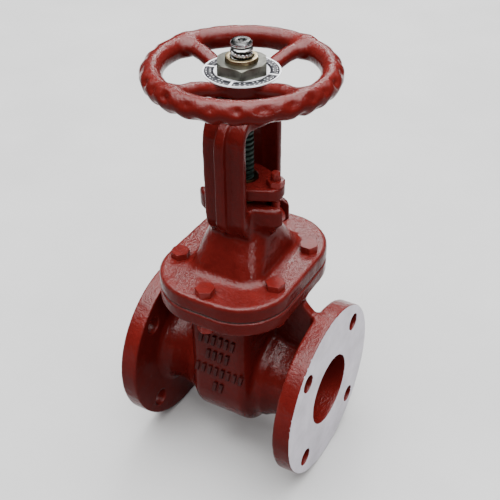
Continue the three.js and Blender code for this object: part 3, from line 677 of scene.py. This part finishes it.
def make_body():
    """The pipe ends, webs, wedge chamber and joint flange as one casting, with bare flange faces."""
    g = Grid(BODY_LOW, BODY_HIGH, BODY_STEP)
    shell = join(pipe_end(g), gusset(g), 5)
    box = chamber(g, CHAMBER_X, CHAMBER_Y, 11, 10)
    top = join(box, joint_flange(g, BODY_FLANGE_Z, JOINT_Z, 2.5, 0.6), 6)
    shell = join(shell, top, 6)
    shell = meet(shell, g.z - JOINT_Z)
    field = cut(cut(shell, body_hollow(g), 0.4), meet(bolt_holes(g), 100 - g.z))

    def machined(p):
        x, y, z = p.T
        port = np.hypot(y, z) < PORT_R + 1
        hole = np.hypot(abs(y) - HOLE_AT, abs(z) - HOLE_AT) < HOLE_R + 1
        return (abs(x) > FACE_X - 1) | (z > JOINT_Z - 1) | port | hole
    piece = casting("valve_body", g, field, 0.42, machined)
    place(piece, "casing", "red_paint_body", [PAINT, FACED], "body")
    for face in piece.data.polygons:
        if abs(face.center.x / MM) > FACE_X - 0.55:
            face.material_index = 1


def bar(verts, faces, centre, size, lean):
    """Adds one raised bar on the chamber's front: a leaning block with sloping sides."""
    (x, z), (w, h) = centre, size
    first = len(verts)
    for depth, shrink in ((1.0, 0.0), (-1.7, 0.15), (-2.3, 0.6)):
        for i, k in ((-1, -1), (1, -1), (1, 1), (-1, 1)):
            up = k * (h / 2 - shrink)
            verts.append((x + i * (w / 2 - shrink) + lean * up, depth - CHAMBER_Y, z + up))
    for level in (0, 4):
        for i in range(4):
            a, b = first + level + i, first + level + (i + 1) % 4
            faces.append((a, b, b + 4, a + 4))
    faces += [(first + 3, first + 2, first + 1, first), tuple(first + 8 + i for i in range(4))]


def make_cast_marks():
    """Rows of plain leaning bars, where a foundry casts its marks, in a darker copy of the enamel that is
    painted shade.
    """
    verts, faces = [], []
    for z, height, count, shift in MARK_ROWS:
        for i in range(count):
            x = shift + (i - (count - 1) / 2) * MARK_PITCH
            bar(verts, faces, (x, z), (MARK_WIDTH, height), MARK_LEAN)
    place(add_mesh("cast_marks", verts, faces, 30), "casing", "red_paint_body", SHADED_MARK_PAINT)


def make_seats():
    """Seat rings in the body, tilted to the wedge's taper."""
    for side, sign in SIDES:
        ring = facing_seat(f"seat_{side}", 39, 46.5, 14.5, 23.5, 0.6, sign)
        place(ring, "casing", "bronze", BRONZE, f"seat_ring_{side}")


def make_gasket():
    """The sheet between the two joint flanges."""
    low, high = cad("body_gasket")
    g = Grid(low, high, (1.3, 1.3, 0.5))
    sheet = meet(round_box(g.x, g.y, high[0], high[1], JOINT_CORNER), between(g.z, low[2], high[2]))
    field = cut(cut(sheet, round_box(g.x, g.y, 28, 55, 8)), bolt_holes(g))
    place(casting("joint_gasket", g, field), "casing", "gasket_sheet", SHEET, "body_gasket")


# ---------------------------------------------------------------- bonnet

ARM_Y, RIB_Y, ARM_INSIDE_Y = 38, 45.5, 30
ARM_HALF_WIDTH, RIB_HALF_WIDTH = 21, 5
HUB_R, HUB_BORE_R, HUB_BORE_Z = 28, 23, 305
# The stuffing box outline at its foot, and what it gains by the height where its lugs are full size:
# reach along X, radius of the middle, radius of the ends.
LUG_FOOT, LUG_GAIN = (30, 23, 15), (17, 3.3, 1.8)
LUG_FOOT_Z, LUG_RISE = 180, 17


def dome(g, low, high, z0, z1):
    """A rounded box of half sizes and corner low at z0, drawn in to high at z1."""
    share = np.clip((g.z - z0) / (z1 - z0), 0, 1)
    a, b, r = (p + (q - p) * share for p, q in zip(low, high))
    return round_box(g.x, g.y, a, b, r) * 0.92


def arm_outline(outer, inner):
    """Side view of a yoke arm, as (y, z)."""
    top = HUB_Z[1] - 6
    points = [(inner - 10, 180), (inner - 4, 183)]
    points += bezier(points[-1], (outer, 194), (outer, 208))
    points += [(outer, 278)] + bezier((outer, 278), (outer, 304), (18, top - 4))
    points += [(10, top - 4), (10, HUB_Z[0]), (20, HUB_Z[0])]
    points += bezier((20, HUB_Z[0]), (inner, HUB_Z[0]), (inner, HUB_Z[0] - 8), 6)
    points += [(inner, 222)] + bezier((inner, 222), (inner, BOX_TOP - 2), (inner - 8, BOX_TOP - 2), 6)
    return points


def make_bonnet():
    """The oval flange, the dome, the stuffing box with its lugs, and the yoke, as one casting."""
    g = Grid(BONNET_LOW, BONNET_HIGH, BONNET_STEP)
    radial, side = np.hypot(g.x, g.y), np.abs(g.y)
    flange = joint_flange(g, BONNET_Z, BONNET_TOP, 0.6, 4.2)
    hump = meet(dome(g, (40, 52, 20), (29, 29, 28.9), BONNET_TOP, 190), between(g.z, 135, 192))
    share = np.clip((g.z - LUG_FOOT_Z) / LUG_RISE, 0, 1)
    lugs = oval(g.x, g.y, *(foot + gain * share for foot, gain in zip(LUG_FOOT, LUG_GAIN))) * 0.85
    lugs = meet(meet(lugs, 176 - g.z), g.z - BOX_TOP, 4.5)
    plate = meet(polygon(side, g.z, arm_outline(ARM_Y, ARM_INSIDE_Y)), np.abs(g.x) - ARM_HALF_WIDTH, 2)
    rib = meet(polygon(side, g.z, arm_outline(RIB_Y, ARM_INSIDE_Y)), np.abs(g.x) - RIB_HALF_WIDTH, 2)
    arm = join(plate, rib, 3.5)
    hub = meet(meet(radial - HUB_R, HUB_Z[0] - g.z, 4), g.z - HUB_Z[1], 1.5)
    top = join(lugs, arm, 4)
    shape = join(join(join(flange, hump, 6), top, 5), hub, 3)
    shape = meet(shape, BONNET_Z - g.z)
    chamber_top = meet(dome(g, (28, 38, 12), (20, 20, 19.9), 127.5, 156), g.z - 156, 2)
    backseat = meet(radial - 15.8, between(g.z, 150, 168))
    stuffing_box = meet(radial - BOX_BORE_R, 165 - g.z)
    hub_bore = meet(radial - HUB_BORE_R, HUB_BORE_Z - g.z)
    lug_slots = meet(meet(side - 5.8, 24.5 - np.abs(g.x)), between(g.z, 189, 222), 1.5)
    eye_holes = np.hypot(np.abs(g.x) - GLAND_BOLT_X, g.z - EYE_Z) - EYE_HOLE_R
    pin_holes = meet(eye_holes, -g.y - PIN_REACH - 0.4)
    flange_holes = meet(bolt_holes(g), g.z - 150)
    bores = [chamber_top, backseat, stuffing_box, hub_bore, flange_holes, lug_slots, pin_holes]
    for bore in bores:
        shape = cut(shape, bore, 0.9)

    def machined(p):
        return (p[:, 2] < BONNET_Z + 1) | (np.hypot(p[:, 0], p[:, 1]) < 18.5)
    piece = casting("bonnet_and_yoke", g, shape, 0.5, machined)
    place(piece, "casing", "red_paint", PAINT, "bonnet")


def make_bush_and_packing():
    """The stepped bush at the foot of the stuffing box and the five rings above it."""
    low, high = cad("backseat_bushing")
    step = 165
    profile = [(STEM_BORE_R, low[2]), (15.6, low[2]), (15.6, step), (17, step), (17, high[2]),
               (STEM_BORE_R, high[2])]
    place(turned("backseat_bush", profile, 0.4), "casing", "bronze", BRONZE, "backseat_bushing")
    for i in range(1, 6):
        node = f"packing_ring_{i}"
        low, high = cad(node)
        ring = turned(f"packing_{i}", tube_profile(10.1, high[0], low[2], high[2]), 1.4)
        place(ring, "casing", "graphite_packing", GRAPHITE, node)


def make_bolts():
    """The painted joint bolts and the nuts below, each with its thread showing under the nut."""
    n = 48
    for i, (x, y) in enumerate(BOLT_AT, 1):
        node = f"bonnet_bolt_{i}"
        low, high = cad(node)
        rings = threaded(low[2], BODY_FLANGE_Z, 5.5, 4.9, 1.8, n, 6)
        rings += [circle(5.5, BODY_FLANGE_Z + 1, n), circle(5.5, BONNET_TOP, n)]
        rings += hex_rings(BOLT_HEX, BONNET_TOP, high[2], n)
        turn = 15 * i
        bolt = move(stack(f"joint_bolt_{i}", rings, sharp=20), x, y, 0, turn)
        place(bolt, "casing", "red_paint", BOLT_PAINT, node)
        node = f"bonnet_nut_{i}"
        low, high = cad(node)
        rings = hex_rings(BOLT_HEX, low[2], high[2], n, True)
        rings += [circle(5.7, high[2], n), circle(5.7, low[2], n)]
        nut = move(stack(f"joint_nut_{i}", rings, True, 20), x, y, 0, turn)
        place(nut, "casing", "red_paint", BOLT_PAINT, node)


# ---------------------------------------------------------------- stem and wedge

def make_stem():
    """The T-head, the backseat collar, the plain shank, the thread and the tip with its centre hole."""
    n, foot, top = 72, STEM_LOW[2], STEM_HIGH[2]
    below = [(11.5, foot), (12.8, foot), (12.8, 54), (8, 54.1), (8, 64), (STEM_R, 64.5), (STEM_R, 66),
             (13.5, 67), (13.5, 70), (STEM_R, 72.5), (STEM_R, 236)]
    rings = [circle(r, z, n) for r, z in soften(below, 0.4, closed=False)]
    rings += threaded(237, top - 5.5, STEM_R, 7.9, THREAD_PITCH, n, 18, -1)
    tip = [(8.2, top - 5.3), (9.6, top - 4.6), (9.6, top - 2.2), (8.1, top), (2.9, top), (2.3, top - 1.4),
           (0.6, top - 2.2)]
    rings += [circle(r, z, n) for r, z in soften(tip, 0.5, closed=False)]
    place(stack("rising_stem", rings, sharp=40), "stem", "bright_steel", STEEL, "stem")


def make_wedge():
    """The gate, slotted above for the stem's T-head, and its two bronze facings."""
    low, high = cad("wedge")
    g = Grid(low, high, WEDGE_STEP)
    x = np.abs(g.x)
    plug = meet(np.hypot(g.y, g.z) - 46.3, x - (12.4 + g.z * math.tan(TAPER)), 1.5)
    lug = meet(round_box(g.x, g.y, 16, 17, 3), between(g.z, 36, 63), 1.5)
    shape = join(plug, lug, 4)
    along, around = seat_axis(g)
    head_slot = meet(np.abs(g.y) - 13.6, between(g.z, 47.5, 54.6))
    neck_slot = meet(np.abs(g.y) - 8.6, between(g.z, 54, 66))
    guide_grooves = meet(x - 4.3, 44.5 - np.abs(g.y))
    facing_grooves = meet(between(around, 39.2, 45.8), 10.2 - along)
    for tool in (head_slot, neck_slot, guide_grooves, facing_grooves):
        shape = cut(shape, tool, 0.3)
    place(casting("gate_wedge", g, shape, 0.2), "stem", "bare_iron", IRON, "wedge")
    for side, sign in SIDES:
        ring = facing_seat(f"gate_face_{side}", 39.5, 45.5, 10.5, 14.2, 0.4, sign)
        place(ring, "stem", "bronze", BRONZE, f"wedge_facing_{side}")


# ---------------------------------------------------------------- gland

def make_gland_plate():
    """The oval two-bolt plate and the sleeve that it presses on the packing."""
    g = Grid(GLAND_LOW, GLAND_HIGH, GLAND_STEP)
    low, high = GLAND_LOW[2], GLAND_HIGH[2]
    plate = meet(oval(g.x, g.y, 42.2, 26.8, 15.8), between(g.z, low, high), 1.6)
    holes = np.hypot(np.abs(g.x) - GLAND_BOLT_X, g.y) - 5.4
    field = cut(cut(plate, np.hypot(g.x, g.y) - 14, 0.8), holes, 0.7)
    place(casting("gland_plate", g, field, 0.35), "gland", "red_paint", PAINT, "gland_flange")
    foot, top = (corner[2] for corner in cad("gland_follower"))
    profile = [(STEM_BORE_R, foot), (16.8, foot), (16.8, low - 0.4), (13.7, low - 0.3), (13.7, top),
               (STEM_BORE_R, top)]
    # The sleeve wears the dark bronze, painted shade of the gap round the stem.
    place(turned("gland_sleeve", profile, 0.5), "gland", "bronze", BRONZE_IN_PAINTED_SHADE, "gland_follower")


def make_eyebolt(side, x):
    """One eye bolt with its nut on the gland plate and its hinge pin in the lugs."""
    n = 48
    node = f"gland_nut_{side}"
    low, high = cad(node)
    rings = hex_rings(GLAND_HEX, low[2], high[2], n, True) + [circle(4.9, high[2], n), circle(4.9, low[2], n)]
    nut = move(stack(f"eyebolt_nut_{side}", rings, True, 20), x, 0, 0, GLAND_NUT_TURN)
    place(nut, "gland", "red_paint", BOLT_PAINT, node)
    node = f"gland_eyebolt_{side}"
    low, high = cad(node)
    rings = [circle(SHANK_R, EYE_Z + 6, n), circle(SHANK_R, 218, n)]
    rings += threaded(218.2, high[2] - 0.6, SHANK_R, 4.0, 1.6, n, 6)
    rings += [circle(3.4, high[2], n)]
    shank = move(stack(f"eyebolt_shank_{side}", rings), x)
    place(shank, "casing", "red_paint", BOLT_PAINT)
    g = Grid((x - 9.2, -5.2, EYE_Z - 9.2), (x + 9.2, 5.2, EYE_Z + 14), 0.7)
    around = np.hypot(g.x - x, g.z - EYE_Z)
    eye = meet(around - 9, np.abs(g.y) - 5, 1.2)
    neck = meet(np.hypot(g.x - x, g.y) - SHANK_R, between(g.z, EYE_Z, EYE_Z + 13))
    field = cut(join(eye, neck, 3), around - EYE_HOLE_R, 0.5)
    place(casting(f"eyebolt_eye_{side}", g, field), "casing", "red_paint", BOLT_PAINT, node)
    node = f"eyebolt_pin_{side}"
    ends = [(0.4, -PIN_REACH), (PIN_R, -PIN_REACH), (PIN_R, PIN_REACH), (0.4, PIN_REACH)]
    pin = turned(f"hinge_pin_{side}", ends, 0.7, 36)
    pin.data.transform(Matrix.Rotation(-math.pi / 2, 4, "X"))
    place(move(pin, x, 0, EYE_Z), "casing", "red_paint", BOLT_PAINT, node)


# ---------------------------------------------------------------- handwheel and what turns with it

DENTS_ROUND_RIM = 26
SPOKE_ANGLES = [math.radians(71 + 90 * i) for i in range(4)]
# The arch of a spoke: distance from the stem and height.
SPOKE_RISE = ((14, 330.6), (24, 331.6), (34, 334.2), (44, 337.6), (54, 340.2), (64, 341), (80, WHEEL_Z))


def make_handwheel():
    """The rim with its uneven dents, the four arched spokes and the hub with its keyway."""
    g = Grid(WHEEL_LOW, WHEEL_HIGH, WHEEL_STEP)
    radial, angle = np.hypot(g.x, g.y), np.arctan2(g.y, g.x)
    major = WHEEL_HIGH[0] - RIM_TUBE
    out, up = radial - major, g.z - WHEEL_Z
    around = np.arctan2(up, out)
    phase = DENTS_ROUND_RIM * angle + 0.9 * np.sin(3 * angle) + 0.7 * np.sin(7 * angle + 2)
    uneven = 0.65 + 0.35 * np.sin(5 * angle + 1) * np.sin(11 * angle)
    upper = np.exp(-((around - 0.6) / 0.45) ** 2) * (0.5 - 0.5 * np.cos(phase)) ** 1.4
    lower = np.exp(-((around + 0.85) / 0.55) ** 2) * (0.5 + 0.5 * np.cos(phase + 0.5)) ** 1.3
    dents = 3.2 * upper * uneven + 2.8 * lower * (1.3 - uneven)
    rim = np.hypot(out, up) - (RIM_TUBE - 0.05 - dents)
    hub_low, hub_high = 324.0, PLATE_LOW[2]
    hub = meet(radial - (22 + 0.12 * (g.z - hub_low)), between(g.z, hub_low, hub_high), 1.6)
    wheel = rim
    for turn in SPOKE_ANGLES:
        along = g.x * math.cos(turn) + g.y * math.sin(turn)
        across = -g.x * math.sin(turn) + g.y * math.cos(turn)
        height = np.interp(along, *zip(*SPOKE_RISE))
        spoke = (np.hypot(across / 1.08, g.z - height) - 6.9) * 0.95
        wheel = join(wheel, meet(spoke, between(along, 10, major)), 8)
    wheel = join(wheel, hub, 5)
    wheel = cut(wheel, meet(hub_high - g.z, radial - (PLATE_HIGH[0] + 0.8)), 0.5)
    key = meet(np.abs(g.y) - 2.5, between(g.x, 8, 17.3))
    bore = np.minimum(radial - WHEEL_BORE_R, key)
    piece = casting("scalloped_wheel", g, cut(wheel, bore, 0.4), 0.35)
    place(piece, "wheel", "red_paint", PAINT, "handwheel")


def make_wheel_fittings():
    """The hex nut, the bronze sleeve of the yoke nut, the key, washers and the slotted retainer."""
    n = 72
    low, high = cad("handwheel_nut")
    rings = hex_rings(WHEEL_HEX, low[2], high[2], n)
    rings += [circle(WHEEL_BORE_R, high[2], n), circle(WHEEL_BORE_R, low[2], n)]
    nut = move(stack("wheel_nut", rings, True, 20), turn=30)
    place(nut, "wheel", "plated_steel", ZINC, "handwheel_nut")
    low, high = cad("stem_nut")
    profile = [(STEM_BORE_R, low[2]), (16.8, low[2]), (16.8, 307.2), (21.5, 307.2), (21.5, 313.6),
               (14.5, 313.6), (14.5, high[2]), (STEM_BORE_R, high[2])]
    place(turned("yoke_nut", profile, 0.8, 96), "wheel", "bronze", BRONZE, "stem_nut")
    low, high = cad("handwheel_key")
    outline = [(low[0], low[1]), (high[0], low[1]), (high[0], high[1]), (low[0], high[1])]
    key = stack("wheel_key", [[(x, y, z) for x, y in outline] for z in (low[2], high[2])])
    place(key, "wheel", "bright_steel", IRON, "handwheel_key")
    for name, inner in (("lower_thrust_washer", 17.6), ("upper_thrust_washer", 15)):
        low, high = cad(name)
        washer = turned(name + "_ring", tube_profile(inner, high[0], low[2], high[2]), 0.3, 96)
        place(washer, "casing", "bronze", BRONZE, name)
    low, high = cad("yoke_retainer")
    g = Grid(low, high, 0.8)
    radial = np.hypot(g.x, g.y)
    ring = meet(between(radial, 15, high[0]), between(g.z, low[2], high[2]), 0.6)
    slots = meet(np.minimum(np.abs(g.x), np.abs(g.y)) - 2.5, 319.5 - g.z)
    piece = casting("slotted_retainer", g, cut(ring, slots, 0.4))
    place(piece, "casing", "plated_steel", ZINC, "yoke_retainer")


def sector(verts, faces, r0, r1, a0, a1, z0, z1):
    """Adds a thin block that follows an arc of the index plate, between two radii, angles and heights."""
    steps = max(1, int(abs(a1 - a0) / math.radians(4)))
    first = len(verts)
    for i in range(steps + 1):
        angle = a0 + (a1 - a0) * i / steps
        for r, z in ((r0, z0), (r1, z0), (r1, z1), (r0, z1)):
            verts.append((r * math.cos(angle), r * math.sin(angle), z))
    for i in range(steps):
        a, b = first + 4 * i, first + 4 * i + 4
        faces += [(a + j, a + (j + 1) % 4, b + (j + 1) % 4, b + j) for j in range(4)]
    last = first + 4 * steps
    faces += [(first + 3, first + 2, first + 1, first), (last, last + 1, last + 2, last + 3)]


def make_index_plate():
    """A pale disc with a raised rim, and on it a dark band in four parts with generic pale ticks."""
    low, high = PLATE_LOW, PLATE_HIGH
    profile = [(WHEEL_BORE_R, low[2]), (high[0], low[2]), (high[0], high[2]), (high[0] - 1.2, high[2]),
               (high[0] - 1.6, high[2] - 0.35), (WHEEL_BORE_R, high[2] - 0.35)]
    place(turned("index_disc", profile, 0.15, 120), "wheel", "printed_plate", PLATE, "index_plate")
    face, ink = high[2] - 0.4, high[2] - 0.2
    verts, faces, pale_verts, pale_faces = [], [], [], []

    def tick(inner, outer, begin, end):
        sector(pale_verts, pale_faces, inner, outer, begin * DEGREE, end * DEGREE, ink - 0.05, high[2])
    for quarter in range(4):
        start = 90 * quarter + 14
        sector(verts, faces, 24.9, 33.2, start * DEGREE, (start + 85) * DEGREE, face, ink)
        for i in range(10):
            begin = start + 3 + 8 * i
            tick(30.9, 31.7, begin, begin + 1.6 + i % 3)
            if i % 3:
                tick(27.3, 28.1, begin, begin + 3)
    place(add_mesh("index_marks", verts, faces), "wheel", "printed_plate", INK)
    place(add_mesh("index_pale_marks", pale_verts, pale_faces), "wheel", "printed_plate", PLATE)


# ---------------------------------------------------------------- studio

def make_studio():
    """A pale floor under a bright sky, with two soft boxes for the gloss to catch."""
    reach, floor_z = 3000.0, BODY_LOW[2] - 0.05
    corners = [(-reach, -reach), (reach, -reach), (reach, reach), (-reach, reach)]
    floor = add_mesh("studio_floor", [(x, y, floor_z) for x, y in corners], [(0, 1, 2, 3)])
    paper = plain("studio_paper", (0.50, 0.50, 0.50), (0.54, 0.54, 0.54), 0.8, 60, 0.01)
    floor.data.materials.append(paper)
    world = bpy.data.worlds.new("studio")
    world.use_nodes = True
    tree = world.node_tree
    height = tree.nodes.new("ShaderNodeSeparateXYZ")
    tree.links.new(tree.nodes.new("ShaderNodeTexCoord").outputs["Generated"], height.inputs[0])
    sky = tree.nodes.new("ShaderNodeMapRange")
    sky.interpolation_type = "SMOOTHSTEP"
    for key, value in (("From Min", 0.55), ("From Max", 1.0), ("To Min", 0.05), ("To Max", 7.5)):
        sky.inputs[key].default_value = value
    tree.links.new(height.outputs["Z"], sky.inputs["Value"])
    tree.links.new(sky.outputs["Result"], tree.nodes["Background"].inputs["Strength"])
    tree.nodes["Background"].inputs["Color"].default_value = (1.0, 1.0, 1.0, 1)
    bpy.context.scene.world = world
    target = Vector((0, 0, 0.13))
    lamps = (
        ("back_left", (-0.63, 1.58, 1.23), (0.5, 0.25), 9),
        ("front_right", (1.25, -0.75, 0.75), (0.05, 0.5), 5),
    )
    for name, at, size, power in lamps:
        light = bpy.data.lights.new(name, "AREA")
        light.shape, light.energy = "RECTANGLE", power
        light.size, light.size_y = size
        lamp = bpy.data.objects.new(name, light)
        lamp.location = at
        lamp.rotation_euler = (target - Vector(at)).to_track_quat("-Z", "Y").to_euler()
        bpy.context.scene.collection.objects.link(lamp)


def make_camera():
    """The main view: its direction, roll, lens and place."""
    azimuth, elevation, roll = math.radians(28.32), math.radians(37.28), math.radians(0.23)
    level = math.cos(elevation)
    back = Vector((math.sin(azimuth) * level, -math.cos(azimuth) * level, math.sin(elevation)))
    lens = bpy.data.cameras.new("camera")
    lens.lens, lens.sensor_width = 62.58, 36.0
    lens.shift_x, lens.shift_y = -0.0388, 0.0438
    camera = bpy.data.objects.new("camera", lens)
    turn = back.to_track_quat("Z", "Y").to_matrix().to_4x4() @ Matrix.Rotation(roll, 4, "Z")
    camera.matrix_world = Matrix.Translation(Vector((0.35917, -0.61426, 0.66163))) @ turn
    bpy.context.scene.collection.objects.link(camera)
    bpy.context.scene.camera = camera


make_camera()
make_studio()
make_body()
make_cast_marks()
make_seats()
make_gasket()
make_bonnet()
make_bush_and_packing()
make_bolts()
make_stem()
make_wedge()
make_gland_plate()
for side, sign in SIDES:
    make_eyebolt(side, sign * GLAND_BOLT_X)
make_handwheel()
make_wheel_fittings()
make_index_plate()
